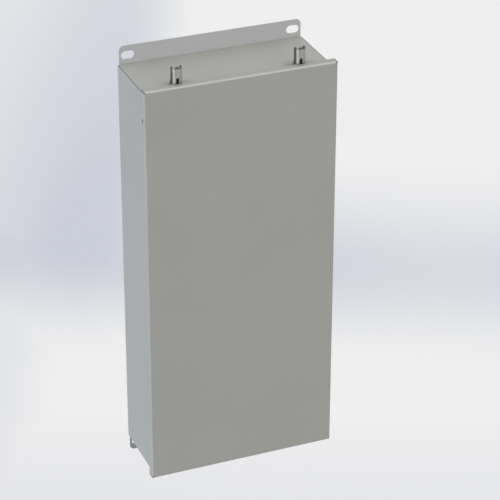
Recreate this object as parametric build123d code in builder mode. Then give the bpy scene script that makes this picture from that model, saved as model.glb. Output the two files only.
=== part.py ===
"""Wall-mounting sheet-steel enclosure: hinged pan cover, two sprung latches, inner mounting panel.

Frame: millimetres, +X right, +Y into the wall, +Z up. The origin is the centre of the
four wall slots, in the plane of the wall that the back lies against.
"""

import os
from math import cos, radians, sin

from build123d import *

inch = 25.4

# Body: a bent wrap closed by two end caps
body_width = 11 * inch
body_height = 24 * inch
body_depth = 4.5 * inch
sheet = 1.5
bend_radius = 1.0
lip_width = 13.0

# Mounting flanges on the end caps
flange_height = 28.6
flange_inset = 2.6
flange_corner = 7.0
slot_length = 19.5
slot_width = 12.0
slot_side_inset = 15.2
slot_rise = 14.3

# Pan cover with its foam gasket
cover_side_margin = 3.8
cover_top_margin = 9.2
cover_bottom_margin = 6.0
cover_return = 11.8
corner_slit_width = 0.9
corner_slit_reach = 4.5
hang_hole_diameter = 6.5
hang_hole_from_front = 6.2
hang_hole_from_top = 45.0
gasket_thickness = 4.2
gasket_width = 12.0
gasket_inset = 0.7

# Continuous hinge along the bottom edge
hinge_end_margin = 8.7
knuckle_count = 21
knuckle_gap = 0.3
knuckle_radius = 2.1
hinge_pin_radius = 1.05
hinge_running_clearance = 0.05
leaf_thickness = 1.0
leaf_drop = 2.6
leaf_width = 13.0
leaf_front_gap = 0.6
knuckle_behind_return = 3.0

# Inner panel on four collar studs
panel_margin = 1 * inch
panel_thickness = 1.9
panel_corner = 3.0
panel_standoff = 12.7
panel_stud_inset = 10.0
collar_radius = 5.0
stud_radius = 3.1
panel_stud_thread = 14.0
stud_hole_clearance = 0.9
washer_radius = 8.0
washer_thickness = 1.6
washer_clearance = 0.3
nut_across_flats = 11.1
nut_thickness = 5.6
thread_clearance = 0.05

# Bonding studs of the body and the cover
ground_stud_length = 15.0
ground_stud_from_side = 13.5
ground_stud_above_bottom = 54.8
cover_stud_from_side = 32.0
stud_base_radius = 4.6
stud_base_thickness = 1.0

# Quick-release latches along the top edge
latch_side_inset = 48.7
lever_width = 14.0
lever_depth = 9.4
lever_thickness = 1.2
lever_bend = 0.6
lever_height = 22.0
lever_ear_rise = 2.4
lever_foot_gap = 1.1
lever_front_setback = 8.6
window_width = 4.4
window_height = 8.0
latch_pin_radius = 1.25
latch_pin_clearance = 0.05
latch_pin_head_radius = 1.9
latch_pin_head_thickness = 0.5
latch_pin_height = 11.0
latch_pin_behind_return = 4.9
lever_lobe_radius = 2.7
ear_radius = 2.4
ear_thickness = 1.0
ear_side_gap = 0.2
base_thickness = 1.5
base_tail = 4.0
base_corner = 1.5
claw_width = 6.0
claw_thickness = 2.4
claw_top_rise = 1.9
claw_nose_gap = 0.3
spring_wire = 0.8
spring_turns = 6
spring_pitch = 0.9
spring_bore_clearance = 0.25
spring_arm = 11.0
spring_arm_lean = 8.6
spring_foot_fall = 65.0
spring_foot_gap = 0.1

# Planes and edges that several pieces share
half_width = body_width / 2
half_height = body_height / 2
hinge_length = body_width - 2 * hinge_end_margin
panel_width = body_width - 2 * panel_margin
panel_height = body_height - 2 * panel_margin
latch_places = {"left": latch_side_inset - half_width, "right": half_width - latch_side_inset}
ground_stud_z = ground_stud_above_bottom - half_height
bend_outer = bend_radius + sheet
inner_half_width = half_width - sheet
lip_inner_x = half_width - lip_width
lip_inner_z = half_height - lip_width
body_front = -body_depth
cover_back_face = body_front - gasket_thickness
cover_front = cover_back_face - sheet
return_rear = cover_front + cover_return
cover_half_width = half_width + cover_side_margin
cover_top = half_height + cover_top_margin
cover_bottom = -half_height - cover_bottom_margin
flange_half_width = half_width - flange_inset
slot_x = half_width - slot_side_inset
slot_z = half_height + slot_rise
hinge_y = return_rear + knuckle_behind_return
hinge_z = -half_height - leaf_drop
panel_back = -sheet - panel_standoff
panel_front = panel_back - panel_thickness
panel_stud_x = panel_width / 2 - panel_stud_inset
panel_stud_z = panel_height / 2 - panel_stud_inset
latch_pin_y = return_rear + latch_pin_behind_return
latch_pin_z = half_height + latch_pin_height
lever_front = cover_front + lever_front_setback
lever_rear = lever_front + lever_depth
lever_foot = cover_top + lever_foot_gap
lever_top = lever_foot + lever_height
base_rear = latch_pin_y + ear_radius + base_tail


def save(piece, name):
    """Label a finished piece and write it under its own name."""
    piece.part.label = name
    export_step(piece.part, f"parts/{name}.step")


# Body wrap: left side, back and right side in one bent sheet, with the front lips
def make_body_wrap():
    with BuildPart() as wrap:
        with BuildSketch(Plane.XY.offset(-half_height)):
            with BuildLine():
                FilletPolyline(
                    (-lip_inner_x, body_front),
                    (-half_width, body_front),
                    (-half_width, 0),
                    (half_width, 0),
                    (half_width, body_front),
                    (lip_inner_x, body_front),
                    radius=bend_outer,
                )
                offset(amount=sheet, side=Side.RIGHT)
            make_face()
        extrude(amount=body_height)
        # The caps' plates lie between the sides, over the ends of the back and the lips
        with Locations((0, body_front / 2, half_height), (0, body_front / 2, -half_height)):
            Box(2 * inner_half_width, body_depth, 2 * sheet, mode=Mode.SUBTRACT)
    return wrap


# End cap: plate, front lip turned in and mounting flange turned out, with two slots
def make_end_cap(side):
    lip_end = lip_inner_z * side
    plate = half_height * side
    flange_end = (half_height + flange_height) * side
    with BuildPart() as cap:
        with BuildSketch(Plane.YZ.offset(-inner_half_width)):
            with BuildLine():
                FilletPolyline(
                    (body_front, lip_end),
                    (body_front, plate),
                    (-sheet, plate),
                    (-sheet, flange_end),
                    radius=[bend_outer, bend_radius],
                )
                offset(amount=sheet, side=Side.RIGHT if side > 0 else Side.LEFT)
            make_face()
        extrude(amount=2 * inner_half_width)
        # The lip ends where the wrap's lips stand
        lip_cut = inner_half_width - lip_inner_x
        lip_height = lip_width - sheet
        lip_cut_x = lip_inner_x + lip_cut / 2
        lip_cut_y = body_front + sheet
        lip_cut_z = side * (lip_inner_z + lip_height / 2)
        with Locations((-lip_cut_x, lip_cut_y, lip_cut_z), (lip_cut_x, lip_cut_y, lip_cut_z)):
            Box(lip_cut, 2 * sheet, lip_height, mode=Mode.SUBTRACT)
        # The flange is narrower than the plate, with rounded corners
        flange_cut = inner_half_width - flange_half_width
        cut_x = flange_half_width + flange_cut / 2
        cut_z = side * (half_height + flange_height / 2)
        with Locations((-cut_x, -sheet / 2, cut_z), (cut_x, -sheet / 2, cut_z)):
            Box(flange_cut, 2 * bend_outer, flange_height, mode=Mode.SUBTRACT)
        corners = cap.edges().filter_by(Axis.Y).group_by(Axis.Z)[-1 if side > 0 else 0]
        fillet(corners, radius=flange_corner)
        with BuildSketch(Plane.XZ.offset(-sheet)):
            with Locations((-slot_x, slot_z * side), (slot_x, slot_z * side)):
                SlotOverall(slot_length, slot_width)
        extrude(amount=4 * sheet, both=True, mode=Mode.SUBTRACT)
    return cap


# Cover: a pan with four returns, slit at the corners, and a hang hole in each side return
def make_cover():
    cover_height = cover_top - cover_bottom
    middle_z = (cover_top + cover_bottom) / 2
    with BuildPart() as cover:
        with BuildSketch(Plane.XZ.offset(-return_rear)):
            with Locations((0, middle_z)):
                Rectangle(2 * cover_half_width, cover_height)
        extrude(amount=cover_return)
        fillet(cover.faces().sort_by(Axis.Y)[0].edges(), radius=bend_outer)
        offset(amount=-sheet, openings=cover.faces().sort_by(Axis.Y)[-1])
        for corner_x in (-cover_half_width, cover_half_width):
            for corner_z in (cover_bottom, cover_top):
                lean = 45 if (corner_x > 0) == (corner_z > middle_z) else -45
                with BuildSketch(Plane.XZ.offset(-return_rear)):
                    with Locations((corner_x, corner_z)):
                        Rectangle(2 * corner_slit_reach, corner_slit_width, rotation=lean)
                extrude(amount=cover_return, mode=Mode.SUBTRACT)
        with BuildSketch(Plane.YZ.offset(-2 * cover_half_width)):
            with Locations((cover_front + hang_hole_from_front, cover_top - hang_hole_from_top)):
                Circle(hang_hole_diameter / 2)
        extrude(amount=4 * cover_half_width, mode=Mode.SUBTRACT)
    return cover


# Gasket: a flat foam frame on the cover's inside, over the body's lips
def make_gasket():
    outer_x = half_width - gasket_inset
    outer_z = half_height - gasket_inset
    with BuildPart() as gasket:
        with BuildSketch(Plane.XZ.offset(-body_front)):
            RectangleRounded(2 * outer_x, 2 * outer_z, gasket_inset + sheet)
            Rectangle(2 * (outer_x - gasket_width), 2 * (outer_z - gasket_width), mode=Mode.SUBTRACT)
        extrude(amount=gasket_thickness)
    return gasket


# Hinge leaf: a flat strip that ends in every second knuckle of the row
def make_hinge_leaf(first_knuckle, flat_near, flat_far, flat_low, flat_high):
    pitch = hinge_length / knuckle_count
    start = -hinge_length / 2
    with BuildPart() as leaf:
        # The flat stops short of the other leaf's knuckles
        with Locations((0, (flat_near + flat_far) / 2, (flat_low + flat_high) / 2)):
            Box(hinge_length, abs(flat_far - flat_near), flat_high - flat_low)
        for index in range(first_knuckle, knuckle_count, 2):
            knuckle_start = start + index * pitch + knuckle_gap / 2
            with BuildSketch(Plane.YZ.offset(knuckle_start)):
                with Locations((hinge_y, hinge_z)):
                    Circle(knuckle_radius)
                with Locations(((hinge_y + flat_near) / 2, (flat_low + flat_high) / 2)):
                    Rectangle(abs(hinge_y - flat_near), flat_high - flat_low)
            extrude(amount=pitch - knuckle_gap)
        with BuildSketch(Plane.YZ.offset(start)):
            with Locations((hinge_y, hinge_z)):
                Circle(hinge_pin_radius + hinge_running_clearance)
        extrude(amount=hinge_length, mode=Mode.SUBTRACT)
    return leaf


def make_hinge_pin():
    with BuildPart() as pin:
        with BuildSketch(Plane.YZ.offset(-hinge_length / 2)):
            with Locations((hinge_y, hinge_z)):
                Circle(hinge_pin_radius)
        extrude(amount=hinge_length)
    return pin


# Threaded stud that stands out of a sheet face, towards the front or the back
def make_studs(places, root_y, toward, base_radius, base_length, thread_length):
    with BuildPart() as studs:
        with BuildSketch(Plane.XZ.offset(-root_y)):
            with Locations(*places):
                Circle(base_radius)
        extrude(amount=-toward * base_length)
        with BuildSketch(Plane.XZ.offset(-root_y - toward * base_length)) as threads:
            with Locations(*places):
                Circle(stud_radius)
        extrude(threads.sketch, amount=-toward * thread_length)
    return studs


def make_washers(places, seat_y, toward):
    with BuildPart() as washers:
        with BuildSketch(Plane.XZ.offset(-seat_y)):
            with Locations(*places):
                Circle(washer_radius)
                Circle(stud_radius + washer_clearance, mode=Mode.SUBTRACT)
        extrude(amount=-toward * washer_thickness)
    return washers


def make_nuts(places, seat_y, toward):
    corner_radius = nut_across_flats / 2 / cos(radians(30))
    with BuildPart() as nuts:
        with BuildSketch(Plane.XZ.offset(-seat_y)):
            with Locations(*places):
                RegularPolygon(corner_radius, 6)
                Circle(stud_radius + thread_clearance, mode=Mode.SUBTRACT)
        extrude(amount=-toward * nut_thickness)
    return nuts


# Mounting panel: a flat plate with a clearance hole for each collar stud
def make_panel():
    with BuildPart() as panel:
        with BuildSketch(Plane.XZ.offset(-panel_back)):
            RectangleRounded(panel_width, panel_height, panel_corner)
            with Locations(*panel_stud_places()):
                Circle(stud_radius + stud_hole_clearance, mode=Mode.SUBTRACT)
        extrude(amount=panel_thickness)
    return panel


def panel_stud_places():
    """The four collar studs, as X and Z."""
    return [(x, z) for x in (-panel_stud_x, panel_stud_x) for z in (-panel_stud_z, panel_stud_z)]


# Latch base: a small plate welded to the body's top, with two ears that hold the pin
def make_latch_base(latch_x):
    ear_inner = lever_width / 2 + ear_side_gap
    base_half_width = ear_inner + ear_thickness
    ear_front = latch_pin_y - ear_radius
    with BuildPart() as base:
        with BuildSketch(Plane.XY.offset(half_height)):
            with Locations((latch_x, (ear_front + base_rear) / 2)):
                Rectangle(2 * base_half_width, base_rear - ear_front)
        extrude(amount=base_thickness)
        fillet(base.edges().filter_by(Axis.Z).group_by(Axis.Y)[-1], radius=base_corner)
        for inner_x in (latch_x - base_half_width, latch_x + ear_inner):
            with BuildSketch(Plane.YZ.offset(inner_x)):
                with Locations((latch_pin_y, latch_pin_z)):
                    Circle(ear_radius)
                with Locations((latch_pin_y, (half_height + latch_pin_z) / 2)):
                    Rectangle(2 * ear_radius, latch_pin_height)
            extrude(amount=ear_thickness)
        with BuildSketch(Plane.YZ.offset(latch_x - 2 * base_half_width)):
            with Locations((latch_pin_y, latch_pin_z)):
                Circle(latch_pin_radius + latch_pin_clearance)
        extrude(amount=4 * base_half_width, mode=Mode.SUBTRACT)
    return base


# Latch pin: a shaft through both ears and both lever walls, headed at each end
def make_latch_pin(latch_x):
    half_span = lever_width / 2 + ear_side_gap + ear_thickness
    with BuildPart() as pin:
        with BuildSketch(Plane.YZ.offset(latch_x - half_span)):
            with Locations((latch_pin_y, latch_pin_z)):
                Circle(latch_pin_radius)
        extrude(amount=2 * half_span)
        for head_start in (latch_x - half_span - latch_pin_head_thickness, latch_x + half_span):
            with BuildSketch(Plane.YZ.offset(head_start)):
                with Locations((latch_pin_y, latch_pin_z)):
                    Circle(latch_pin_head_radius)
            extrude(amount=latch_pin_head_thickness)
    return pin


# Lever: a U channel standing on its pin, open at the back, with rounded ears and a window
def make_latch_lever(latch_x):
    ear_centre_y = lever_front + lever_depth / 2
    ear_centre_z = lever_top + lever_ear_rise - lever_depth / 2
    with BuildPart() as lever:
        with BuildSketch(Plane.XY.offset(lever_foot)):
            with BuildLine():
                FilletPolyline(
                    (latch_x - lever_width / 2, lever_rear),
                    (latch_x - lever_width / 2, lever_front),
                    (latch_x + lever_width / 2, lever_front),
                    (latch_x + lever_width / 2, lever_rear),
                    radius=lever_bend + lever_thickness,
                )
                offset(amount=lever_thickness, side=Side.LEFT)
            make_face()
        extrude(amount=ear_centre_z - lever_foot)
        # Rounded ears over the walls, and lobes around the pin under them
        for wall_x in (latch_x - lever_width / 2, latch_x + lever_width / 2 - lever_thickness):
            with BuildSketch(Plane.YZ.offset(wall_x)):
                with Locations((ear_centre_y, ear_centre_z)):
                    Circle(lever_depth / 2)
                with Locations((latch_pin_y, latch_pin_z)):
                    Circle(lever_lobe_radius)
                with BuildLine():
                    Polyline(
                        (latch_pin_y - lever_lobe_radius, latch_pin_z),
                        (latch_pin_y + lever_lobe_radius, latch_pin_z),
                        (lever_rear, latch_pin_z + 2 * lever_lobe_radius),
                        (latch_pin_y - lever_lobe_radius, latch_pin_z + 2 * lever_lobe_radius),
                        close=True,
                    )
                make_face()
            extrude(amount=lever_thickness)
        # The web stands a little lower than the ears
        web_half = lever_width / 2 - lever_thickness
        with BuildSketch(Plane.XZ.offset(-lever_front)):
            with Locations((latch_x, (ear_centre_z + lever_top) / 2)):
                Rectangle(2 * web_half, lever_top - ear_centre_z)
        extrude(amount=-lever_thickness)
        with BuildSketch(Plane.XZ.offset(-lever_front)):
            with Locations((latch_x, lever_foot + window_height / 2)):
                Rectangle(window_width, window_height)
        extrude(amount=-2 * lever_thickness, mode=Mode.SUBTRACT)
        with BuildSketch(Plane.YZ.offset(latch_x - lever_width)):
            with Locations((latch_pin_y, latch_pin_z)):
                Circle(latch_pin_radius + latch_pin_clearance)
        extrude(amount=2 * lever_width, mode=Mode.SUBTRACT)
    return lever


# Claw: the dark tongue behind the web, whose nose bears on the cover's top return
def make_latch_claw(latch_x):
    nose = cover_top + claw_nose_gap
    top = lever_top + claw_top_rise
    with BuildPart() as claw:
        with BuildSketch(Plane.XZ.offset(-lever_front - lever_thickness)):
            with Locations((latch_x, (nose + top - claw_width / 2) / 2)):
                Rectangle(claw_width, top - claw_width / 2 - nose)
            with Locations((latch_x, top - claw_width / 2)):
                Circle(claw_width / 2)
        extrude(amount=-claw_thickness)
    return claw


# Torsion spring: coils round the pin, an arm up behind the claw and a foot down on the base
def make_latch_spring(latch_x):
    coil_radius = latch_pin_radius + spring_bore_clearance + spring_wire / 2
    foot_start_angle = 180 - spring_foot_fall
    arm_start_angle = 90 + spring_arm_lean
    turns = spring_turns + (foot_start_angle - arm_start_angle) / 360
    coil_length = turns * spring_pitch
    foot_start_z = latch_pin_z + coil_radius * cos(radians(foot_start_angle))
    foot_end_z = half_height + base_thickness + spring_wire / 2 + spring_foot_gap
    foot_length = (foot_start_z - foot_end_z) / sin(radians(spring_foot_fall))
    with BuildPart() as coil:
        with BuildLine() as path:
            Helix(spring_pitch, coil_length, coil_radius, direction=(1, 0, 0), lefthand=True)
        with BuildSketch(Plane(origin=path.line @ 0, z_dir=path.line % 0)):
            Circle(spring_wire / 2)
        sweep(is_frenet=True)
        for end, way, leg in ((0, -1, foot_length), (1, 1, spring_arm)):
            with BuildSketch(Plane(origin=path.line @ end, z_dir=(path.line % end) * way)):
                Circle(spring_wire / 2)
            extrude(amount=leg)
    with BuildPart() as spring:
        coil_start = (latch_x - coil_length / 2, latch_pin_y, latch_pin_z)
        with Locations(Location(coil_start, (foot_start_angle, 0, 0))):
            add(coil.part)
    return spring


def main():
    os.makedirs("parts", exist_ok=True)

    save(make_body_wrap(), "body_wrap")
    save(make_end_cap(1), "top_end_cap")
    save(make_end_cap(-1), "bottom_end_cap")

    corners = panel_stud_places()
    panel_stud_sizes = (collar_radius, panel_standoff, panel_stud_thread)
    save(make_studs(corners, -sheet, -1, *panel_stud_sizes), "panel_studs")
    save(make_panel(), "mounting_panel")
    save(make_washers(corners, panel_front, -1), "panel_washers")
    save(make_nuts(corners, panel_front - washer_thickness, -1), "panel_nuts")

    ground_stud_sizes = (stud_base_radius, stud_base_thickness, ground_stud_length)
    body_stud = [(-half_width + ground_stud_from_side, ground_stud_z)]
    body_stud_seat = -sheet - stud_base_thickness
    save(make_studs(body_stud, -sheet, -1, *ground_stud_sizes), "ground_stud")
    save(make_washers(body_stud, body_stud_seat, -1), "ground_washer")
    save(make_nuts(body_stud, body_stud_seat - washer_thickness, -1), "ground_nut")

    save(make_cover(), "cover")
    save(make_gasket(), "cover_gasket")
    cover_stud = [(-half_width + cover_stud_from_side, ground_stud_z)]
    cover_stud_seat = cover_back_face + stud_base_thickness
    save(make_studs(cover_stud, cover_back_face, 1, *ground_stud_sizes), "cover_ground_stud")
    save(make_washers(cover_stud, cover_stud_seat, 1), "cover_ground_washer")
    save(make_nuts(cover_stud, cover_stud_seat + washer_thickness, 1), "cover_ground_nut")

    knuckle_edge = knuckle_radius + leaf_front_gap
    body_leaf_near = hinge_y + knuckle_edge
    body_leaf_far = body_leaf_near + leaf_width
    body_leaf_low = -half_height - leaf_thickness
    body_leaf = make_hinge_leaf(0, body_leaf_near, body_leaf_far, body_leaf_low, -half_height)
    save(body_leaf, "hinge_body_leaf")
    cover_leaf_near = hinge_y - knuckle_edge
    cover_leaf_far = cover_back_face + bend_radius
    cover_leaf_low = cover_bottom + sheet
    cover_leaf_high = cover_leaf_low + leaf_thickness
    cover_leaf = make_hinge_leaf(1, cover_leaf_near, cover_leaf_far, cover_leaf_low, cover_leaf_high)
    save(cover_leaf, "hinge_cover_leaf")
    save(make_hinge_pin(), "hinge_pin")

    for name, latch_x in latch_places.items():
        save(make_latch_base(latch_x), f"latch_base_{name}")
        save(make_latch_pin(latch_x), f"latch_pin_{name}")
        save(make_latch_lever(latch_x), f"latch_lever_{name}")
        save(make_latch_claw(latch_x), f"latch_claw_{name}")
        save(make_latch_spring(latch_x), f"latch_spring_{name}")


main()
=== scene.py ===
import math

import bmesh
import bpy
import numpy as np
from mathutils import Matrix, Vector


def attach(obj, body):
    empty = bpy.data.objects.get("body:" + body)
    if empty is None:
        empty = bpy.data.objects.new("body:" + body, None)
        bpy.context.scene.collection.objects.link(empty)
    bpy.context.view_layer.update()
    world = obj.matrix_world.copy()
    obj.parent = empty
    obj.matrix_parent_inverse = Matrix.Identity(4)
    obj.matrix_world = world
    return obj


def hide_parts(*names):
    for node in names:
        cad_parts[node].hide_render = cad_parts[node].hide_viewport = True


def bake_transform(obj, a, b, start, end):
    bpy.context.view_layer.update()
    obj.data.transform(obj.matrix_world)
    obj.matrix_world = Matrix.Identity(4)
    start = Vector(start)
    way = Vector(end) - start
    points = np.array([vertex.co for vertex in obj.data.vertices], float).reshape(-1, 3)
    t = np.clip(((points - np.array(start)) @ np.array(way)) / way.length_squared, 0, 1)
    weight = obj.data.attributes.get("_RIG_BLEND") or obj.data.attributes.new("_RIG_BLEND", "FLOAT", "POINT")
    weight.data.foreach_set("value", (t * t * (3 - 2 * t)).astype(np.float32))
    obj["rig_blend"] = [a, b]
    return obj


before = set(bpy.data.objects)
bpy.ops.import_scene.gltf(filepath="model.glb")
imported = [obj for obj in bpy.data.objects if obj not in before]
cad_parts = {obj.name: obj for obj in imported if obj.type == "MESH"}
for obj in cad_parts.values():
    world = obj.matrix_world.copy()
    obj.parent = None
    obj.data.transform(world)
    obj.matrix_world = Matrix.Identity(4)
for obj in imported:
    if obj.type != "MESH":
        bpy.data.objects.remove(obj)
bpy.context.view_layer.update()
scene = bpy.context.scene
mm = 0.001
print("frame loaded:", len(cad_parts), "nodes")


# colours are written as 0-255 screen values and turned into scene values here
def tone(red, green, blue):
    screen = np.array([red, green, blue]) / 255
    scaled = np.where(screen <= 0.04045, screen / 12.92, ((screen + 0.055) / 1.055) ** 2.4)
    return (*scaled.tolist(), 1.0)


# shader maths: a Flow wraps a socket, and an expression on Flows adds its Math nodes
class Flow:
    def __init__(self, recipe, socket):
        self.recipe, self.socket = recipe, socket

    def join(self, operation, first, second=0.0):
        return self.recipe.flow("ShaderNodeMath", {"operation": operation}, {0: first, 1: second})

    def __add__(self, other):
        return self.join("ADD", self, other)

    def __sub__(self, other):
        return self.join("SUBTRACT", self, other)

    def __rsub__(self, other):
        return self.join("SUBTRACT", other, self)

    def __mul__(self, other):
        return self.join("MULTIPLY", self, other)

    def __truediv__(self, other):
        return self.join("DIVIDE", self, other)

    def __pow__(self, other):
        return self.join("POWER", self, other)

    def __abs__(self):
        return self.join("ABSOLUTE", self)

    __radd__ = __add__
    __rmul__ = __mul__

    def larger(self, other):
        return self.join("MAXIMUM", self, other)

    def repeat(self, length):  # distance from the nearest multiple of length
        return self.join("PINGPONG", self, length / 2)

    def step(self, low, high):  # 0 below low, 1 above high, smooth between
        sockets = {"Value": self, "From Min": low, "From Max": high}
        return self.recipe.flow("ShaderNodeMapRange", {"interpolation_type": "SMOOTHSTEP"}, sockets, "Result")


# the node tree of one material, or of the world
class Recipe:
    def __init__(self, name, world=None):
        self.owner = world or bpy.data.materials.new(name)
        self.owner.use_nodes = True
        self.tree = self.owner.node_tree
        self.tree.nodes.clear()

    def feed(self, target, value):  # links a Flow or a socket, and sets anything else as a value
        if isinstance(value, Flow):
            value = value.socket
        if isinstance(value, bpy.types.NodeSocket):
            self.tree.links.new(value, target)
        else:
            target.default_value = value

    def node(self, kind, settings=None, sockets=None):
        made = self.tree.nodes.new(kind)
        for key, value in (settings or {}).items():
            setattr(made, key, value)
        for key, value in (sockets or {}).items():
            self.feed(made.inputs[key], value)
        return made

    def flow(self, kind, settings=None, sockets=None, output=0):
        return Flow(self, self.node(kind, settings, sockets).outputs[output])

    def place(self):
        return self.node("ShaderNodeTexCoord").outputs["Object"]

    def split(self, where):  # the X, Y and Z of a vector
        parts = self.node("ShaderNodeSeparateXYZ", None, {"Vector": where})
        return [Flow(self, parts.outputs[axis]) for axis in "XYZ"]

    def stretched(self, scale):
        return self.node("ShaderNodeMapping", None, {"Vector": self.place(), "Scale": scale}).outputs[0]

    def noise(self, where, scale, detail, roughness):
        sockets = {"Vector": where, "Scale": scale, "Detail": detail, "Roughness": roughness}
        return self.flow("ShaderNodeTexNoise", None, sockets)

    def cells(self, where, scale):
        return self.flow("ShaderNodeTexVoronoi", None, {"Vector": where, "Scale": scale}, "Distance")

    def blend(self, factor, first, second):
        made = self.node("ShaderNodeMix", {"data_type": "RGBA"})
        for name, kind, value in (("Factor", "VALUE", factor), ("A", "RGBA", first), ("B", "RGBA", second)):
            self.feed(next(s for s in made.inputs if (s.name, s.type) == (name, kind)), value)
        return next(s for s in made.outputs if s.type == "RGBA")

    def bump(self, height, distance):
        return self.node("ShaderNodeBump", None, {"Height": height, "Distance": distance}).outputs[0]

    def seen(self):  # 1 for rays that reach a viewer straight, mirrored or through glass
        rays = self.node("ShaderNodeLightPath")
        straight, mirrored, through = (
            Flow(self, rays.outputs[f"Is {kind} Ray"]) for kind in ("Camera", "Glossy", "Transmission")
        )
        return straight.larger(mirrored).larger(through)

    def surface(self, shader, kind="ShaderNodeOutputMaterial"):
        self.node(kind, None, {"Surface": shader})
        return self.owner

    def principled(self, sockets):
        return self.surface(self.node("ShaderNodeBsdfPrincipled", None, sockets).outputs[0])


# the stage, the lamps and the camera, in metres and degrees
stageLook = {
    "pale": tone(238, 238, 238),
    "cool": tone(197, 201, 215),
    "horizon": tone(203, 207, 219),
    "horizonTop": 0.35,  # how far up the horizon's tone reaches, where 1 is straight up
    "shadowShare": 0.12,  # how much of the floor is lit by the lamps, and so keeps a shadow
    "shadowed": (0.8, 0.8, 0.8, 1.0),  # the colour of that share
    "bounced": (0.25, 0.25, 0.25, 1.0),  # the colour that the floor throws back at the object
    "level": -0.87,  # under the open cover's reach, because the box hangs on a wall
    "drawnLevel": -0.3334,  # where the pattern's distances were measured
    "size": 60.0,
}
# the floor's cool pattern: a pair is where a step begins and ends, in metres along the photograph's line
# of sight or across it, and a single number is a strength
patternLook = {
    "bandTilt": 0.08,  # metres along for each metre across
    "bandBegin": (0.20, 0.62),
    "bandEnd": (0.38, 1.03),
    "bandStrength": 1.17,
    "bandFade": (0.03, 0.41),
    "bandFaded": 0.31,
    "poolBegin": (0.20, 0.62),
    "poolRight": (-0.22, -0.05),
    "poolLeft": (-0.51, -0.24),
    "poolStrength": 0.54,
    "poolGained": 0.46,
    "poolNearby": 1.26,
    "poolLostPerMetre": 0.31,
    "nearEnd": (-0.175, 0.08),
    "nearStrength": 0.24,
    "edgeEnd": (-0.345, -0.25),
    "edgeStrength": 0.3,
    "distant": (4.5, 18),
}
lampLook = {
    "ambient": ((1.0, 1.0, 1.0, 1.0), 0.85),
    "front": {"from": (0.10, -0.775, 0.624), "colour": (1.0, 0.943, 0.795), "power": 0.926, "spread": 34},
    "left": {"from": (-0.97, -0.17, 0.08), "colour": (0.752, 0.832, 1.0), "power": 3.009, "spread": 50},
}
cameraLook = {
    "lens": 159.0,
    "sensor": 36.0,
    "farthest": 100.0,
    "yaw": 22.03,
    "pitch": 28.33,
    "roll": 0.10,
    "distance": 3.267,
    "across": 0.0559,
    "up": -0.0133,
}


# the eye's place, and the camera's right, up and back directions
def cameraAxes(look):
    yaw, pitch, roll = (math.radians(look[key]) for key in ("yaw", "pitch", "roll"))
    back = Vector((-math.sin(yaw) * math.cos(pitch), -math.cos(yaw) * math.cos(pitch), math.sin(pitch)))
    level = Vector((math.cos(yaw), -math.sin(yaw), 0))
    over = back.cross(level)
    right = level * math.cos(roll) + over * math.sin(roll)
    upright = over * math.cos(roll) - level * math.sin(roll)
    return back * look["distance"] + right * look["across"] + upright * look["up"], right, upright, back


# how far a point on the floor lies along the photograph's line of sight, and to the right of it, once it is
# drawn towards the photograph's viewpoint, from the floor's own level to the one the pattern is laid out on
def patternAxes(recipe, look):
    east, north, _ = recipe.split(recipe.place())
    turn, eye = math.radians(cameraLook["yaw"]), cameraAxes(cameraLook)[0]
    nearer = (eye.z - look["drawnLevel"]) / (eye.z - look["level"])
    east, north = (east - eye.x) * nearer + eye.x, (north - eye.y) * nearer + eye.y
    return east * math.sin(turn) + north * math.cos(turn), east * math.cos(turn) - north * math.sin(turn)


# painted shade on the floor's glow: a cool band lies across the floor behind the object, a cool pool to its
# left that fades with distance, and a faint one in front, and far off the floor turns cool
def patternAmount(recipe, look, pattern):
    along, across = patternAxes(recipe, look)
    tilted = along + across * pattern["bandTilt"]
    band = tilted.step(*pattern["bandBegin"]) * (1 - tilted.step(*pattern["bandEnd"]))
    band = band * (pattern["bandStrength"] - across.step(*pattern["bandFade"]) * pattern["bandFaded"])
    pool = along.step(*pattern["poolBegin"]) * (1 - across.step(*pattern["poolRight"]))
    pool = pool * (pattern["poolStrength"] + across.step(*pattern["poolLeft"]) * pattern["poolGained"])
    pool = pool * (pattern["poolNearby"] - along * pattern["poolLostPerMetre"]).larger(0)
    near = (1 - along.step(*pattern["nearEnd"])) * pattern["nearStrength"]
    edge = (1 - across.step(*pattern["edgeEnd"])) * pattern["edgeStrength"]
    distant = ((along * along + across * across) ** 0.5).step(*pattern["distant"])
    return (band.larger(pool) + near).larger(edge).larger(distant)


def makeStage(look, pattern):
    half, low = look["size"] / 2, look["level"]
    corners = [(-half, -half, low), (half, -half, low), (half, half, low), (-half, half, low)]
    mesh = bpy.data.meshes.new("studioFloor")
    mesh.from_pydata(corners, [], [(0, 1, 2, 3)])
    floor = bpy.data.objects.new("studioFloor", mesh)
    scene.collection.objects.link(floor)
    recipe = Recipe("studioFloorPaint")
    # the pattern's cool tone is painted shade over the pale glow
    shade = recipe.blend(patternAmount(recipe, look, pattern), look["pale"], look["cool"])
    seen = recipe.seen()
    dull = recipe.blend(seen, look["bounced"], look["shadowed"])
    lit = recipe.node("ShaderNodeBsdfDiffuse", None, {"Color": dull}).outputs[0]
    glow = recipe.node("ShaderNodeEmission", None, {"Color": shade, "Strength": 1.0}).outputs[0]
    mixed = recipe.node("ShaderNodeMixShader", None, {0: seen * (1 - look["shadowShare"]), 1: lit, 2: glow})
    mesh.materials.append(recipe.surface(mixed.outputs[0]))


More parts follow.
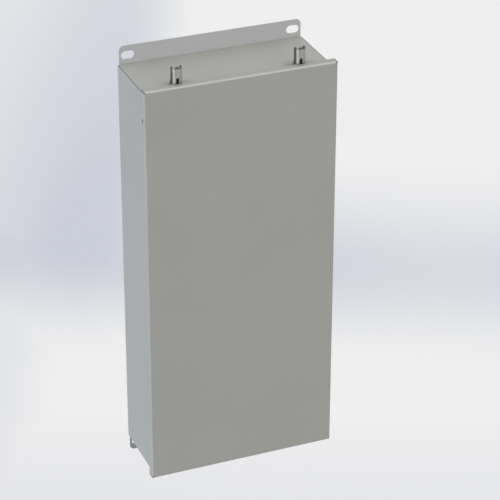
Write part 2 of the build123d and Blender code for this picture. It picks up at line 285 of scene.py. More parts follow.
def makeWorld(look, ambient):
    world = bpy.data.worlds.new("studioWorld")
    scene.world = world
    recipe = Recipe("studioWorld", world)
    colour, strength = ambient
    plain = recipe.node("ShaderNodeBackground", None, {"Color": colour, "Strength": strength}).outputs[0]
    upward = recipe.split(recipe.node("ShaderNodeTexCoord").outputs["Generated"])[2]
    sky = recipe.blend(upward.step(0.0, look["horizonTop"]), look["horizon"], look["pale"])
    shown = recipe.node("ShaderNodeBackground", None, {"Color": sky, "Strength": 1.0}).outputs[0]
    mixed = recipe.node("ShaderNodeMixShader", None, {0: recipe.seen(), 1: plain, 2: shown}).outputs[0]
    recipe.surface(mixed, "ShaderNodeOutputWorld")


def makeLamp(name, look):
    lamp = bpy.data.lights.new(name, "SUN")
    lamp.energy, lamp.color, lamp.angle = look["power"], look["colour"], math.radians(look["spread"])
    holder = bpy.data.objects.new(name, lamp)
    scene.collection.objects.link(holder)
    holder.rotation_euler = Vector(look["from"]).to_track_quat("Z", "Y").to_euler()


def makeCamera(look):
    eye, right, upright, back = cameraAxes(look)
    data = bpy.data.cameras.new("photoCamera")
    data.lens, data.sensor_width, data.clip_end = look["lens"], look["sensor"], look["farthest"]
    camera = bpy.data.objects.new("photoCamera", data)
    scene.collection.objects.link(camera)
    turn = Matrix((right, upright, back)).transposed()
    camera.matrix_world = Matrix.Translation(eye) @ turn.to_4x4()
    scene.camera = camera


scene.view_settings.view_transform = "Standard"
makeStage(stageLook, patternLook)
makeWorld(stageLook, lampLook["ambient"])
makeLamp("frontLamp", lampLook["front"])
makeLamp("leftLamp", lampLook["left"])
makeCamera(cameraLook)
print("stage, lamps and camera made")


latchPlaces = {"left": -91.0, "right": 91.0}  # the latches' middles, in millimetres along X

# the finishes' own values: patterns are counted per metre, and a pair is where a step begins and ends
powderLook = {
    "colour": tone(158, 159, 154),
    "dark": tone(152, 153, 149),
    "edge": tone(176, 177, 173),
    "peelPerMetre": 620,  # orange peel, about 1.6 mm from dimple to dimple
    "grainPerMetre": 3200,
    "cloudPerMetre": 7.0,
    "relief": 0.03 * mm,
    "weldRelief": 3.0,  # as a multiple of the peel's
    "roughness": 0.46,
    "edgeSmoother": 0.08,
    "specular": 0.42,
}
enamelLook = {
    "colour": tone(233, 233, 228),
    "scuff": tone(214, 213, 206),
    "peelPerMetre": 380,
    "scuffStretch": (5.0, 5.0, 26.0),
    "scuffScale": 3.2,
    "relief": 0.04 * mm,
    "roughness": 0.32,
    "coat": 0.25,
}
zincLook = {
    "colour": tone(205, 207, 208),
    "dull": tone(170, 172, 172),
    "patchesPerMetre": 900.0,
    "hazePerMetre": 240,
    "relief": 0.01 * mm,
    "roughness": 0.3,
}
steelLook = {
    "colour": tone(181, 181, 178),
    "streak": tone(142, 142, 139),
    "edge": tone(121, 121, 119),
    "lineStretch": (2600.0, 2600.0, 90.0),
    "bandStretch": (240.0, 240.0, 8.0),
    "relief": 0.006 * mm,
    "roughness": 0.24,
}
leverLook = {
    **steelLook,
    # a painted highlight down the left bend, and painted shade over the right of the web, its walls and top
    # edge
    "leftBendHighlight": tone(221, 220, 216),
    "wall": tone(103, 103, 101),
    "rightShadeBeside": (2.2 * mm, 5.2 * mm),  # to the right of the lever's middle
    "highlightBeside": (3.2 * mm, 4.6 * mm),  # to the left of it
    "wallBeside": (5.3 * mm, 5.7 * mm),
    "wallDepth": (-111.1 * mm, -110.3 * mm),
    "tipHeight": (336.2 * mm, 337.2 * mm),
    "roughness": 0.22,
}
dullSteelLook = {
    **steelLook,
    "colour": tone(150, 150, 148),
    "streak": tone(120, 120, 118),
    "edge": tone(162, 162, 160),
    "roughness": 0.34,
}
wireLook = {
    "colour": tone(170, 170, 168),
    "dark": tone(96, 95, 92),
    "filmPerMetre": 700,
    "relief": 0.01 * mm,
    "roughness": 0.34,
}
blackLook = {
    "colour": tone(26, 26, 27),
    "bright": tone(54, 54, 56),
    "paleTop": tone(112, 113, 114),
    "paleTopHeight": (335.6 * mm, 337.6 * mm),
    "filmPerMetre": 520,
    "relief": 0.02 * mm,
    "metallic": 0.35,
    "roughness": 0.5,
}
foamLook = {
    "colour": tone(46, 46, 48),
    "pit": tone(24, 24, 26),
    "cellsPerMetre": 1500.0,
    "swellPerMetre": 160,
    "relief": 0.12 * mm,
    "roughness": 0.92,
}


# powder coat: fused grains with a soft orange peel, thinner and paler where the sheet's cut edges are
def powderCoat(name, look, onEdge=False, welds=None, shading=None):
    recipe = Recipe(name)
    where = recipe.place()
    peel = recipe.noise(where, look["peelPerMetre"], 1.5, 0.45)
    grain = recipe.noise(where, look["grainPerMetre"], 1.0, 0.6)
    cloud = recipe.noise(where, look["cloudPerMetre"], 3.0, 0.55)
    mottle = cloud.step(0.32, 0.68) * 0.35 + grain.step(0.35, 0.65) * 0.4
    colour = recipe.blend(mottle, look["edge"] if onEdge else look["colour"], look["dark"])
    if shading:
        shades, shadeLook = shading
        colour = shades(recipe, where, colour, shadeLook)
    height = peel + grain * 0.22
    if welds:
        height = height - welds["kind"](recipe, where, welds) * look["weldRelief"]
    rough = look["roughness"] + (peel - 0.5) * 0.16 - (look["edgeSmoother"] if onEdge else 0.0)
    return recipe.principled({
        "Base Color": colour,
        "Roughness": rough,
        "Specular IOR Level": look["specular"],
        "Normal": recipe.bump(height, look["relief"]),
    })


plateTop = 304.8  # the outer faces of the end plates, in millimetres from the middle along Z
bodyShadeLook = {
    "jointX": 138.2 * mm,
    "jointSoft": (0.375 * mm, 0.75 * mm),
    "jointHeight": ((plateTop - 1.6) * mm, (plateTop - 0.8) * mm),
    "jointColour": tone(66, 66, 64),
    "jointStrength": 0.9,
    "filledSide": (-10 * mm, 10 * mm),  # the right-hand joint is filled tighter
    "filledBy": 0.6,
    # painted shade in the crease at the flange's foot
    "creaseY": -1.5 * mm,
    "creaseZ": plateTop * mm,
    "creaseSoft": (0.4 * mm, 2.4 * mm),
    "creaseColour": tone(96, 97, 95),
    "creaseStrength": 0.14,
    # painted light: the flange paler and cooler than the coat
    "flangeHeight": ((plateTop + 1.5) * mm, (plateTop + 3.5) * mm),
    "flangeColour": tone(170, 171, 172),
    # a painted shadow on the top plate behind each latch's base, a little right of the latch's middle
    "rubX": latchPlaces["right"] * mm,
    "rubShift": 7.0 * mm,
    "rubY": -88.0 * mm,
    "rubHalfX": 29.0 * mm,
    "rubHalfY": 13.0 * mm,
    "rubHeight": ((plateTop - 1.0) * mm, (plateTop - 0.2) * mm),
    "rubStrength": 0.42,
}


# the dark joint between each end cap and the wrap's sides, painted shade in the crease at the flange's foot,
# painted light that makes the flange paler and cooler, and a painted shadow beside each latch's base
def bodyShades(recipe, where, colour, look):
    x, y, z = recipe.split(where)
    level = abs(z)
    joint = 1 - abs(abs(x) - look["jointX"]).step(*look["jointSoft"])
    joint = joint * level.step(*look["jointHeight"])
    filled = x.step(*look["filledSide"]) * look["filledBy"]
    colour = recipe.blend(joint * (look["jointStrength"] - filled), colour, look["jointColour"])
    # painted shade in the crease at the flange's foot
    inward, upward = y - look["creaseY"], level - look["creaseZ"]
    creaseShade = 1 - ((inward * inward + upward * upward) ** 0.5).step(*look["creaseSoft"])
    colour = recipe.blend(creaseShade * look["creaseStrength"], colour, look["creaseColour"])
    # painted light: the flange paler and cooler
    colour = recipe.blend(level.step(*look["flangeHeight"]), colour, look["flangeColour"])
    # a painted shadow behind each latch's base, in the painted shade colour
    aside = (abs(x - look["rubShift"]) - look["rubX"]) / look["rubHalfX"]
    along = (y - look["rubY"]) / look["rubHalfY"]
    scuffAndShade = 1 - ((aside * aside + along * along) ** 0.5).step(0.35, 1.0)
    scuffAndShade = scuffAndShade * z.step(*look["rubHeight"])
    return recipe.blend(scuffAndShade * look["rubStrength"], colour, look["creaseColour"])


coverShadeLook = {
    "halfWidth": 143.5 * mm,
    "halfHeight": 312.4 * mm,
    "middleZ": 1.6 * mm,
    # painted shade on the walls of the corner slits
    "slitSoft": (0.8 * mm, 1.28 * mm),
    "slitEnd": (4.6 * mm, 5.6 * mm),
    "slitColour": tone(44, 44, 43),
    "slitStrength": 0.94,
    # painted shade on the flats of the top and bottom returns
    "returnSoft": (0.2 * mm, 0.5 * mm),
    "returnDepth": (-118.0 * mm, -117.0 * mm),
    "returnColour": tone(148, 149, 145),
    "returnStrength": 0.8,
    "front": -120.0 * mm,
    "highest": 314.0 * mm,
    # a painted highlight over the top bend, weaker over the side bends
    "bendDepth": (1.17 * mm, 2.6 * mm),
    "bendWidth": (1.56 * mm, 3.12 * mm),
    "bendColour": tone(173, 174, 169),
    "sideBendStrength": 0.3,
    # painted shade where the bottom bend turns under
    "lowest": -310.8 * mm,
    "underSoft": (0.2 * mm, 2.2 * mm),
    "underDepth": (-118.6 * mm, -117.6 * mm),
    "underColour": tone(112, 112, 109),
    "underStrength": 0.55,
}


# painted shade on the walls of the slits at the cover's corners and on the flats of its top and bottom
# returns, a painted highlight over the bends, and a thin painted shade where the bottom bend turns under
def coverShades(recipe, where, colour, look):
    x, y, z = recipe.split(where)
    fromSide = look["halfWidth"] - abs(x)
    fromEnd = look["halfHeight"] - abs(z - look["middleZ"])
    offLine = abs(fromSide - fromEnd) * math.sqrt(0.5)
    # painted shade in the corner slits
    slit = (1 - offLine.step(*look["slitSoft"])) * (1 - (fromSide + fromEnd).step(*look["slitEnd"]))
    # painted shade on the flats of the returns
    returnShade = (1 - fromEnd.step(*look["returnSoft"])) * y.step(*look["returnDepth"])
    colour = recipe.blend(returnShade * look["returnStrength"], colour, look["returnColour"])
    # a painted highlight over the top bend, weaker over the side bends
    bend = 1 - (y - look["front"]).step(*look["bendDepth"])
    level = bend * (1 - (look["highest"] - z).step(*look["bendWidth"]))
    upright = bend * (1 - fromSide.step(*look["bendWidth"])) * look["sideBendStrength"]
    colour = recipe.blend(level.larger(upright), colour, look["bendColour"])
    # painted shade where the bottom bend turns under
    under = (1 - (z - look["lowest"]).step(*look["underSoft"])) * (1 - y.step(*look["underDepth"]))
    colour = recipe.blend(under * look["underStrength"], colour, look["underColour"])
    return recipe.blend(slit * look["slitStrength"], colour, look["slitColour"])


# a row of shallow round electrode marks, one every spacing along X, all at one Y
def spotWelds(recipe, where, welds):
    x, y, _ = recipe.split(where)
    along, other = x.repeat(welds["spacing"]), y - welds["y"]
    away = (along * along + other * other) ** 0.5
    return 1 - away.step(welds["radius"] * 0.7, welds["radius"])


# the shallow ring that each welded panel stud leaves on the outside of the back
def studRings(recipe, where, welds):
    x, y, z = recipe.split(where)
    aside, level = abs(x) - welds["x"], abs(z) - welds["z"]
    away = (aside * aside + level * level) ** 0.5
    ring = 1 - abs(away - welds["radius"]).step(welds["width"] * 0.3, welds["width"])
    return ring * y.step(*welds["backFace"])


panelStudX, panelStudZ = 104.3, 269.4  # how far the panel's studs stand from the middle, in millimetres
ringMarks = {
    "kind": studRings,
    "x": panelStudX * mm,
    "z": panelStudZ * mm,
    "radius": 4.2 * mm,
    "width": 1.6 * mm,
    "backFace": (-0.5 * mm, -0.2 * mm),
}
bodyLeafMarks = {"kind": spotWelds, "spacing": 37.4 * mm, "y": -97.0 * mm, "radius": 2.6 * mm}
coverLeafMarks = {**bodyLeafMarks, "y": -112.0 * mm}


def enamel(name, look):
    recipe = Recipe(name)
    peel = recipe.noise(recipe.place(), look["peelPerMetre"], 2.0, 0.5)
    scuffAndShade = recipe.noise(recipe.stretched(look["scuffStretch"]), look["scuffScale"], 5.0, 0.62)
    return recipe.principled({
        "Base Color": recipe.blend(scuffAndShade.step(0.56, 0.76) * 0.5, look["colour"], look["scuff"]),
        "Roughness": look["roughness"] + scuffAndShade * 0.14,
        "Coat Weight": look["coat"] - scuffAndShade * 0.15,
        "Normal": recipe.bump(peel, look["relief"]),
    })


# bright zinc: crystal patches with a little handling haze
def zinc(name, look):
    recipe = Recipe(name)
    where = recipe.place()
    patches = recipe.cells(where, look["patchesPerMetre"])
    haze = recipe.noise(where, look["hazePerMetre"], 3.0, 0.55)
    return recipe.principled({
        "Base Color": recipe.blend(haze.step(0.4, 0.72) * 0.6 + patches * 0.2, look["colour"], look["dull"]),
        "Metallic": 1.0,
        "Roughness": look["roughness"] + haze * 0.18,
        "Normal": recipe.bump(haze + patches * 0.4, look["relief"]),
    })


# rolled and stamped steel: draw lines run along Z, softened by tumbling
def stampedSteel(name, look, onEdge=False, leverX=None):
    recipe = Recipe(name)
    lines = recipe.noise(recipe.stretched(look["lineStretch"]), 1.0, 3.0, 0.6)
    bands = recipe.noise(recipe.stretched(look["bandStretch"]), 1.0, 2.0, 0.5)
    colour = recipe.blend(bands.step(0.35, 0.7) * 0.6, look["colour"], look["streak"])
    if leverX is not None:
        colour = leverShades(recipe, colour, look, leverX)
    return recipe.principled({
        "Base Color": look["edge"] if onEdge else colour,
        "Metallic": 1.0,
        "Roughness": look["roughness"] + lines * 0.14,
        "Normal": recipe.bump(lines, look["relief"]),
    })


# on a lever: a painted highlight down the left bend, painted shade in the streak tone over the right of the
# web, and painted shade on the walls behind the web and on its top edge
def leverShades(recipe, colour, look, leverX):
    x, y, z = recipe.split(recipe.place())
    aside = x - leverX
    # painted shade in the streak tone over the right of the web
    colour = recipe.blend(aside.step(*look["rightShadeBeside"]) * 0.35, colour, look["streak"])
    # a painted highlight down the left bend
    colour = recipe.blend((0 - aside).step(*look["highlightBeside"]) * 0.8, colour, look["leftBendHighlight"])
    # painted shade on the walls behind the web and on the lever's top edge
    wall = abs(aside).step(*look["wallBeside"]) * y.step(*look["wallDepth"])
    return recipe.blend(wall.larger(z.step(*look["tipHeight"])) * 0.92, colour, look["wall"])


def drawnWire(name, look):
    recipe = Recipe(name)
    film = recipe.noise(recipe.place(), look["filmPerMetre"], 3.0, 0.6)
    return recipe.principled({
        "Base Color": recipe.blend(film.step(0.4, 0.7), look["colour"], look["dark"]),
        "Metallic": 1.0,
        "Roughness": look["roughness"] + film * 0.2,
        "Normal": recipe.bump(film, look["relief"]),
    })


# black oxide, paler over the top of the claw
def blackOxide(name, look):
    recipe = Recipe(name)
    where = recipe.place()
    film = recipe.noise(where, look["filmPerMetre"], 4.0, 0.6)
    paleTop = recipe.split(where)[2].step(*look["paleTopHeight"])
    colour = recipe.blend(film.step(0.5, 0.8), look["colour"], look["bright"])
    return recipe.principled({
        "Base Color": recipe.blend(paleTop * 0.85, colour, look["paleTop"]),
        "Metallic": look["metallic"],
        "Roughness": look["roughness"] + film * 0.2,
        "Normal": recipe.bump(film, look["relief"]),
    })


# poured foam: closed skin over fine open cells
def foam(name, look):
    recipe = Recipe(name)
    where = recipe.place()
    cells = recipe.cells(where, look["cellsPerMetre"])
    swell = recipe.noise(where, look["swellPerMetre"], 3.0, 0.5)
    return recipe.principled({
        "Base Color": recipe.blend(cells.step(0.1, 0.5), look["pit"], look["colour"]),
        "Roughness": look["roughness"] - swell * 0.12,
        "Normal": recipe.bump(cells * 0.5 + swell * 1.5, look["relief"]),
    })


bodyShading, coverShading = (bodyShades, bodyShadeLook), (coverShades, coverShadeLook)
finishes = {
    "bodyCoat": powderCoat("bodyPowderCoat", powderLook, welds=ringMarks, shading=bodyShading),
    "coatEdge": powderCoat("greyPowderCoatEdge", powderLook, onEdge=True),
    "coverCoat": powderCoat("coverPowderCoat", powderLook, shading=coverShading),
    "coverEdge": powderCoat("coverPowderCoatEdge", powderLook, onEdge=True, shading=coverShading),
    "bodyLeafCoat": powderCoat("hingeBodyCoat", powderLook, welds=bodyLeafMarks),
    "coverLeafCoat": powderCoat("hingeCoverCoat", powderLook, welds=coverLeafMarks),
    "enamel": enamel("panelEnamel", enamelLook),
    "zinc": zinc("brightZinc", zincLook),
    "steel": stampedSteel("stampedSteel", steelLook),
    "leftLever": stampedSteel("leftLeverSteel", leverLook, leverX=latchPlaces["left"] * mm),
    "rightLever": stampedSteel("rightLeverSteel", leverLook, leverX=latchPlaces["right"] * mm),
    "leverEdge": stampedSteel("leverEdgeSteel", steelLook, onEdge=True),
    "dullSteel": stampedSteel("dullSteel", dullSteelLook),
    "dullEdge": stampedSteel("dullSteelEdge", dullSteelLook, onEdge=True),
    "wire": drawnWire("springWire", wireLook),
    "black": blackOxide("blackOxide", blackLook),
    "foam": foam("pouredFoam", foamLook),
}
print("finishes made:", len(finishes))


def soften(work, sharp):  # shades smoothly, but not over edges that turn by more than sharp degrees
    for face in work.faces:
        face.smooth = True
    for edge in work.edges:
        edge.smooth = edge.is_manifold and edge.calc_face_angle(0) < math.radians(sharp)


# points this near are made one, in metres, and faces within flat degrees of each other are joined
mergeLook = {"sheet": 0.002 * mm, "surface": 0.001 * mm, "flat": 0.8}


# pieces dressed from the frame's own sheets: merged, flats joined, cut edges rounded
def dress(node, name, body, look):
    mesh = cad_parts[node].data.copy()
    mesh.name = name
    for layer in [a for a in mesh.attributes if a.name == "custom_normal"]:
        mesh.attributes.remove(layer)
    piece = bpy.data.objects.new(name, mesh)
    scene.collection.objects.link(piece)
    work = bmesh.new()
    work.from_mesh(mesh)
    bmesh.ops.remove_doubles(work, verts=work.verts, dist=mergeLook["sheet"])
    flat = math.radians(mergeLook["flat"])
    bmesh.ops.dissolve_limit(work, angle_limit=flat, verts=work.verts, edges=work.edges)
    soften(work, look["sharp"])
    for face in work.faces:
        face.material_index = 0
    work.to_mesh(mesh)
    work.free()
    mesh.materials.clear()
    for paint in look["paints"]:
        mesh.materials.append(finishes[paint])
    rounding = piece.modifiers.new("roundedEdges", "BEVEL")
    rounding.width, rounding.segments = look["edge"], look["segments"]
    rounding.limit_method, rounding.angle_limit = "ANGLE", math.radians(look["sharp"])
    rounding.harden_normals = True
    rounding.material = len(look["paints"]) - 1
    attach(piece, body)
    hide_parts(node)


sheetLook = {"edge": 0.28 * mm, "segments": 2, "sharp": 32, "paints": ["bodyCoat", "coatEdge"]}
coverLook = {**sheetLook, "paints": ["coverCoat", "coverEdge"]}
bodyLeafLook = {"edge": 0.1 * mm, "segments": 1, "sharp": 40, "paints": ["bodyLeafCoat"]}
coverLeafLook = {**bodyLeafLook, "paints": ["coverLeafCoat"]}
panelLook = {"edge": 0.3 * mm, "segments": 2, "sharp": 32, "paints": ["enamel"]}
baseLook = {"edge": 0.16 * mm, "segments": 2, "sharp": 38, "paints": ["dullSteel", "dullEdge"]}
clawLook = {"edge": 0.3 * mm, "segments": 2, "sharp": 38, "paints": ["black"]}
for node, name in {"body_wrap": "bodyShell", "top_end_cap": "topCap", "bottom_end_cap": "bottomCap"}.items():
    dress(node, name, "enclosure_body", sheetLook)
dress("cover", "coverPan", "cover_assembly", coverLook)
dress("hinge_body_leaf", "hingeBodyLeaf", "enclosure_body", bodyLeafLook)
dress("hinge_cover_leaf", "hingeCoverLeaf", "cover_assembly", coverLeafLook)
dress("mounting_panel", "devicePanel", "enclosure_body", panelLook)
for side in latchPlaces:
    tag = side.capitalize()
    leverPaints = {**baseLook, "paints": [f"{side}Lever", "leverEdge"]}
    dress(f"latch_base_{side}", f"latchBase{tag}", "enclosure_body", baseLook)
    dress(f"latch_lever_{side}", f"latchLever{tag}", f"{side}_latch", leverPaints)
    dress(f"latch_claw_{side}", f"latchClaw{tag}", f"{side}_latch", clawLook)
print("sheet pieces dressed")


# joins grids into one mesh: a grid is an array of rings, and a ring an array of points in millimetres
# where closed the last ring joins the first, and elsewhere both are capped
def gridMesh(name, grids, closed):
    corners, faces, offset = [], [], 0
    for points in grids:
        rings, around = points.shape[:2]
        index = np.arange(rings * around).reshape(rings, around) + offset
        nextRing = np.roll(index, -1, 0) if closed else index[1:]
        thisRing = index if closed else index[:-1]
        quads = np.stack([thisRing, np.roll(thisRing, -1, 1), np.roll(nextRing, -1, 1), nextRing], -1)
        faces += quads.reshape(-1, 4).tolist()
        if not closed:
            faces += [index[0][::-1].tolist(), index[-1].tolist()]
        corners.append(points.reshape(-1, 3) * mm)
        offset += rings * around
    mesh = bpy.data.meshes.new(name)
    mesh.from_pydata(np.concatenate(corners).tolist(), [], faces)
    mesh.update()
    return mesh


def gridPiece(name, grids, body, paint, node, closed=False, sharp=40):
    mesh = gridMesh(name, grids, closed)
    work = bmesh.new()
    work.from_mesh(mesh)
    bmesh.ops.remove_doubles(work, verts=work.verts, dist=mergeLook["surface"])
    bmesh.ops.recalc_face_normals(work, faces=work.faces)
    soften(work, sharp)
    work.to_mesh(mesh)
    work.free()
    mesh.materials.append(finishes[paint])
    piece = bpy.data.objects.new(name, mesh)
    scene.collection.objects.link(piece)
    if body:  # a spring has none here, because it is blended between two bodies
        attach(piece, body)
    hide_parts(node)
    return piece


# rings of points round an axis along X or Y: radii, and reaches along it, have a row for each ring, and one
# column or a column for each point
def ringGrid(radii, reaches, centre, axis, around):
    axis, side = np.array(axis, float), np.array([0.0, 0.0, 1.0])
    angle = np.linspace(0, 2 * np.pi, around, endpoint=False)
    spoke = np.cos(angle)[:, None] * side + np.sin(angle)[:, None] * np.cross(axis, side)
    return np.array(centre) + reaches[..., None] * axis + radii[..., None] * spoke


def turned(radii, reaches, centre, axis, around=48):  # a turned shape, with one radius for each reach
    return ringGrid(np.array(radii, float)[:, None], np.array(reaches, float)[:, None], centre, axis, around)


gasketLook = {
    "base": -118.5,
    "height": 4.2,
    "halfWidth": 6.0,
    "x": 133.0,
    "z": 298.1,
    "corner": 9.0,
    "fullness": 2.7,
    "topPoints": 19,
    "basePoints": 7,
    "baseHalf": 0.9,  # of the half width
    "sharp": 70,
}


# a rounded rectangle in X and Z, with the outward direction at each point
def roundedLoop(halfX, halfZ, corner, perCorner=14):
    angle = np.linspace(0, np.pi / 2, perCorner)[None, :] + np.arange(4)[:, None] * np.pi / 2
    outward = np.stack([np.cos(angle), np.sin(angle)], -1)
    signs = np.array([(1, 1), (-1, 1), (-1, -1), (1, -1)])[:, None, :]
    middle = signs * np.array([halfX - corner, halfZ - corner])
    return (middle + outward * corner).reshape(-1, 2), outward.reshape(-1, 2)


# the bead's height over its base falls from the middle to nothing at both sides, as a flat-topped hump
def gasketGrid(look):
    line, outward = roundedLoop(look["x"], look["z"], look["corner"])
    top = -np.cos(np.linspace(0, np.pi, look["topPoints"]))
    hump = np.clip(1 - np.abs(top) ** look["fullness"], 0, 1) ** (1 / look["fullness"])
    base = np.linspace(look["baseHalf"], -look["baseHalf"], look["basePoints"])
    across, rise = np.concatenate([top, base]), np.concatenate([hump, base * 0])
    flat = line[:, None, :] + outward[:, None, :] * (across * look["halfWidth"])[None, :, None]
    level = np.broadcast_to(look["base"] + rise * look["height"], flat.shape[:2])
    return np.stack([flat[..., 0], level, flat[..., 1]], -1)


bead, sharp = [gasketGrid(gasketLook)], gasketLook["sharp"]
gridPiece("coverGasketBead", bead, "cover_assembly", "foam", "cover_gasket", closed=True, sharp=sharp)
print("gasket bead made")

studLook = {
    "radius": 3.1,
    "root": 2.5,
    "tip": 2.15,
    "pitch": 1.27,
    "lead": 0.9,
    "collarEdge": 0.35,
    "around": 30,
    "perPitch": 8,
}


# threaded rod: its radius falls from crest to root and back once a pitch, that wave turns once round the rod,
# and over the lead at each end the radius is held under a line down to the tip's
def threadGrid(look, centre, axis, start, length):
    reach = np.linspace(0, length, int(length / look["pitch"] * look["perPitch"]) + 1)
    angle = np.linspace(0, 2 * np.pi, look["around"], endpoint=False)
    wave = np.abs(((reach[:, None] / look["pitch"] - angle[None, :] / (2 * np.pi)) % 1) * 2 - 1)
    radius = look["root"] + (look["radius"] - look["root"]) * np.clip(wave * 1.5 - 0.25, 0, 1)
    lead = np.clip(np.minimum(reach, length - reach) / look["lead"], 0, 1)[:, None]
    radius = np.minimum(radius, look["tip"] + (look["radius"] - look["tip"]) * lead)
    return ringGrid(radius, (start + reach)[:, None], centre, axis, look["around"])


def studGrids(look, centre, axis, radius, length, thread):
    edge = look["collarEdge"]
    radii, reaches = [radius - edge, radius, radius, radius - edge], [0, edge, length - edge, length]
    return [turned(radii, reaches, centre, axis), threadGrid(look, centre, axis, length, thread)]


washerLook = {"outer": 8.0, "bore": 3.4, "thickness": 1.6, "edge": 0.35, "break": 0.1, "around": 56}


def washerGrid(look, centre, axis):
    outer, bore, thick, edge = look["outer"], look["bore"], look["thickness"], look["edge"]
    rim, nearFace = [outer - look["break"], outer, outer, outer - look["break"]], thick - look["break"]
    radii = [bore, bore, bore + edge, outer - edge, *rim, outer - edge, bore + edge]
    reaches = [edge, thick - edge, thick, thick, nearFace, thick - edge, edge, look["break"], 0, 0]
    return turned(radii, reaches, centre, axis, look["around"])


nutLook = {
    "flats": 11.1,
    "height": 5.6,
    "bore": 3.12,
    "sink": 0.45,
    "face": 0.97,  # the end faces' radius, as a share of half the flats
    "chamfer": 30,
    "around": 72,
}


# a hexagon whose corners are turned down by a cone at both ends, round a bore with a small countersink
def nutGrid(look, centre, axis):
    angle = np.linspace(0, 2 * np.pi, look["around"], endpoint=False)
    half, height, sink = look["flats"] / 2, look["height"], look["sink"]
    hexagon = half / np.cos((angle + np.pi / 6) % (np.pi / 3) - np.pi / 6)
    drop = (hexagon - half * look["face"]) * math.tan(math.radians(look["chamfer"]))
    foot, top = np.zeros_like(hexagon), np.full_like(hexagon, height)
    bore, face = foot + look["bore"], foot + half * look["face"]
    radii = np.stack([bore, bore + sink, face, hexagon, hexagon, face, bore + sink, bore])
    reaches = np.stack([foot + sink, foot, foot, drop, height - drop, top, top, top - sink])
    return ringGrid(radii, reaches, centre, axis, look["around"])


# each set of stud, washer and nut: its places in X and Z, the face it stands on and its way along Y, the
# collar's radius and length with the thread's length, and the sheet that the washer holds to the collar
panelFixing = {
    "stud": ("panelStuds", "panel_studs"),
    "washer": ("panelWashers", "panel_washers"),
    "nut": ("panelNuts", "panel_nuts"),
    "places": [(x, z) for x in (-panelStudX, panelStudX) for z in (-panelStudZ, panelStudZ)],
    "face": -1.5,
    "way": -1,
    "sizes": (5.0, 12.7, 14.0),
    "sheet": 1.9,
    "body": "enclosure_body",
}
bodyGround = {
    "stud": ("bodyGroundStud", "ground_stud"),
    "washer": ("bodyGroundWasher", "ground_washer"),
    "nut": ("bodyGroundNut", "ground_nut"),
    "places": [(-126.2, -250.0)],
    "face": -1.5,
    "way": -1,
    "sizes": (4.6, 1.0, 15.0),
    "sheet": 0.0,
    "body": "enclosure_body",
}
coverGround = {
    "stud": ("coverGroundStud", "cover_ground_stud"),
    "washer": ("coverGroundWasher", "cover_ground_washer"),
    "nut": ("coverGroundNut", "cover_ground_nut"),
    "places": [(-107.7, -250.0)],
    "face": -118.5,
    "way": 1,
    "sizes": (4.6, 1.0, 15.0),
    "sheet": 0.0,
    "body": "cover_assembly",
}


# one kind of fastener at one fixing: its foot is so far past the face, and make gives the grids for a place
def fasten(fixing, kind, past, make, closed=False, sharp=40):
    foot, axis = fixing["face"] + fixing["way"] * past, (0, fixing["way"], 0)
    grids = [grid for x, z in fixing["places"] for grid in make((x, foot, z), axis)]
    name, node = fixing[kind]
    gridPiece(name, grids, fixing["body"], "zinc", node, closed, sharp)


fixings = (panelFixing, bodyGround, coverGround)
for fixing in fixings:
    fasten(fixing, "stud", 0, lambda place, axis: studGrids(studLook, place, axis, *fixing["sizes"]))
for fixing in fixings:
    held = fixing["sizes"][1] + fixing["sheet"]
    fasten(fixing, "washer", held, lambda place, axis: [washerGrid(washerLook, place, axis)], closed=True)
for fixing in fixings:
    held = fixing["sizes"][1] + fixing["sheet"] + washerLook["thickness"]
    fasten(fixing, "nut", held, lambda place, axis: [nutGrid(nutLook, place, axis)], closed=True, sharp=24)
print("studs, washers and nuts made")

springLook = {
    "wire": 0.4,
    "coil": 1.9,
    "turns": 6,
    "pitch": 0.9,
    "footAngle": 115.0,
    "armAngle": 98.6,
    "arm": 11.0,
    "footEnd": 306.8,
    "twistReach": 2.3,  # the part of the coil, to either side of its middle, that twists
}
pinPlace = {"y": -103.3, "z": 315.8}


# the wire's middle line: a straight foot, a left-hand coil round the pin, and a straight arm, each meeting
# the coil along its own line
def springLine(look, latchX):
    turns = look["turns"] + (look["footAngle"] - look["armAngle"]) / 360
    length = turns * look["pitch"]
    step = np.linspace(0, 1, 210)
    angle = np.radians(look["footAngle"]) - 2 * np.pi * turns * step
    coil = np.stack([
        latchX - length / 2 + length * step,
        pinPlace["y"] - look["coil"] * np.sin(angle),
        pinPlace["z"] + look["coil"] * np.cos(angle),
    ], -1)
    first, last = coil[0] - coil[1], coil[-1] - coil[-2]
    first, last = first / np.linalg.norm(first), last / np.linalg.norm(last)
    footLength = (coil[0][2] - look["footEnd"]) / -first[2]
    foot = coil[0] + first * np.linspace(footLength, 0, 10, endpoint=False)[:, None]
    arm = coil[-1] + last * np.linspace(0, look["arm"], 11)[1:, None]
    return np.concatenate([foot, coil, arm])


# a round section carried along a line that never runs along X
def wireGrid(line, radius, around=10):
    ahead = np.gradient(line, axis=0)
    ahead = ahead / np.linalg.norm(ahead, axis=1, keepdims=True)
    side = np.cross(ahead, [1.0, 0.0, 0.0])
    side = side / np.linalg.norm(side, axis=1, keepdims=True)
    over = np.cross(ahead, side)
    angle = np.linspace(0, 2 * np.pi, around, endpoint=False)[None, :, None]
    return line[:, None] + radius * (np.cos(angle) * side[:, None] + np.sin(angle) * over[:, None])


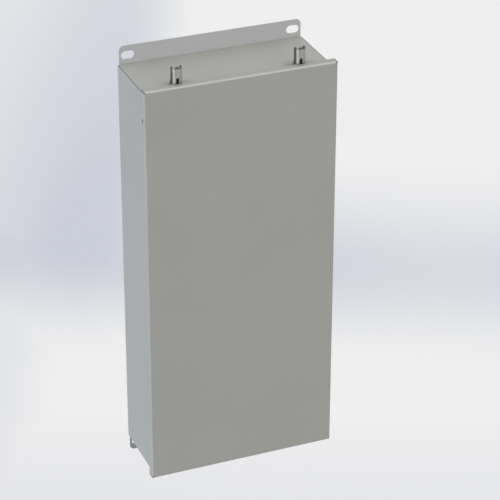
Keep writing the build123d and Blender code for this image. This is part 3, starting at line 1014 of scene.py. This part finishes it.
pinLook = {
    "radius": 1.25,
    "halfSpan": 8.2,
    "head": 1.9,
    "headThickness": 0.5,
    "headEdge": 0.12,
    "headInset": 0.15,
}


# half of a headed pin, from its middle to the crown of its head, mirrored to make the other half
def pinGrid(look, centre):
    crown = np.linspace(0, 1, 7)
    headRadii = look["head"] * np.sqrt(np.clip(1 - crown ** 2.4, 0.0004, 1))
    headReach = look["halfSpan"] + look["headEdge"] + (look["headThickness"] - look["headEdge"]) * crown
    radii = np.concatenate([[look["radius"], look["radius"], look["head"] - look["headInset"]], headRadii])
    reaches = np.concatenate([[0, look["halfSpan"], look["halfSpan"]], headReach])
    radii = np.concatenate([radii[::-1], radii[1:]])
    reaches = np.concatenate([-reaches[::-1], reaches[1:]])
    return turned(radii, reaches, centre, (1, 0, 0), 40)


for side, latchX in latchPlaces.items():
    tag = side.capitalize()
    wire = [wireGrid(springLine(springLook, latchX), springLook["wire"])]
    spring = gridPiece(f"latchSpring{tag}", wire, None, "wire", f"latch_spring_{side}")
    # the foot stays on the box, the arm turns with the lever, and the coil between them twists
    coilStart, coilEnd = (latchX + way * springLook["twistReach"] for way in (-1, 1))
    level = (pinPlace["y"] * mm, pinPlace["z"] * mm)
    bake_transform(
        spring, "enclosure_body", f"{side}_latch", start=(coilStart * mm, *level), end=(coilEnd * mm, *level)
    )
    pin = [pinGrid(pinLook, (latchX, pinPlace["y"], pinPlace["z"]))]
    gridPiece(f"latchPin{tag}", pin, "enclosure_body", "dullSteel", f"latch_pin_{side}")
rodLook = {"radius": 1.05, "halfLength": 131.0, "y": -105.2, "z": -307.4}
rodRadii = np.array([0.55, 0.9, 1, 1, 0.9, 0.55]) * rodLook["radius"]  # rounded at both ends
rodReach = np.array([-1, -0.9994, -0.997, 0.997, 0.9994, 1]) * rodLook["halfLength"]
rod = [turned(rodRadii, rodReach, (0, rodLook["y"], rodLook["z"]), (1, 0, 0), 32)]
gridPiece("hingeRod", rod, "enclosure_body", "steel", "hinge_pin")
print("springs, pins and hinge rod made")
